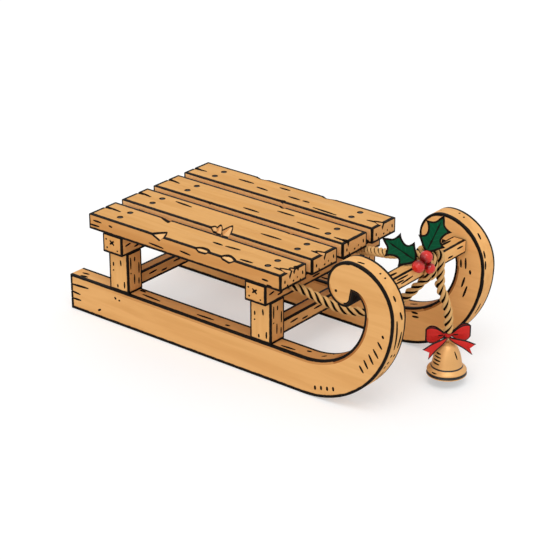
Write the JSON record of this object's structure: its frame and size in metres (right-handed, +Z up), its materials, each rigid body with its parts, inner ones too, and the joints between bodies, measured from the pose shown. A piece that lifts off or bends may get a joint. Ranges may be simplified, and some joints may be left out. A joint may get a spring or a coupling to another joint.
{
  "type": "wooden sled",
  "caption": "Wooden plank-seat sled on curled board runners, with a pull rope tied to a crossbar, a holly sprig and a hanging bell under a ribbon bow.",
  "frame": {"origin": "on the ground, under the middle of the sled's length and width", "axes": "+X forward to the curled ends, +Y to the sled's left, +Z up"},
  "size_m": [0.8694, 0.374, 0.3514],
  "materials": {
    "wood": "oiled softwood, eased and darkened along its edges, with checks, chips and short burnt grain lines",
    "dowel": "plain hardwood dowel",
    "nail": "black iron, low sheen",
    "rope": "laid natural-fibre rope with dark grooves",
    "leaf": "waxy dark green leaf",
    "berry": "glossy red",
    "ribbon": "red satin",
    "bell": "golden brass, soft sheen"
  },
  "bodies": {
    "sled": {"runner_right": "wood", "runner_left": "wood", "post_rear_right": "wood", "post_rear_left": "wood", "post_front_right": "wood", "post_front_left": "wood", "stretcher_rear": "wood", "stretcher_front": "wood", "bearer_rear": "wood", "bearer_front": "wood", "seat_slat_1": "wood", "seat_slat_2": "wood", "seat_slat_3": "wood", "seat_slat_4": "wood", "crossbar": "wood", "nail_1_rear_right": "nail", "nail_1_rear_left": "nail", "nail_1_front_right": "nail", "nail_1_front_left": "nail", "nail_2_rear_right": "nail", "nail_2_rear_left": "nail", "nail_2_front_right": "nail", "nail_2_front_left": "nail", "nail_3_rear_right": "nail", "nail_3_rear_left": "nail", "nail_3_front_right": "nail", "nail_3_front_left": "nail", "nail_4_rear_right": "nail", "nail_4_rear_left": "nail", "nail_4_front_right": "nail", "nail_4_front_left": "nail", "corner_dowel_rear_right": "dowel", "corner_dowel_rear_left": "dowel", "corner_dowel_front_right": "dowel", "corner_dowel_front_left": "dowel", "crossbar_dowel_right": "dowel", "crossbar_dowel_left": "dowel", "rope_anchor_right": "rope", "rope_anchor_left": "rope", "rope_right": "rope", "rope_left": "rope", "rope_hitch": "rope", "rope_tail_turn": "rope", "rope_tail": "rope", "holly_core": "leaf", "holly_leaf_rear": "leaf", "holly_leaf_upright": "leaf", "holly_berry_top": "berry", "holly_berry_right": "berry", "holly_berry_front": "berry", "bow_knot": "ribbon", "bow_loop_right": "ribbon", "bow_loop_left": "ribbon", "bow_tail_right": "ribbon", "bow_tail_left": "ribbon", "bell_staple": "bell"},
    "bell": {"bell_shell": "bell", "bell_eye_bolt": "bell"},
    "clapper": {"bell_clapper": "bell"}
  },
  "joints": [
    {"name": "bell_swing", "type": "hinge", "parent": "sled", "child": "bell", "pos_m": [0.395, 0.0434, 0.0911], "axis": [0.6293, -0.7771, 0], "range_deg": [-25, 25]},
    {"name": "clapper_swing", "type": "hinge", "parent": "bell", "child": "clapper", "pos_m": [0.395, 0.0434, 0.0733], "axis": [0.6293, -0.7771, 0], "range_deg": [-26, 26]}
  ]
}
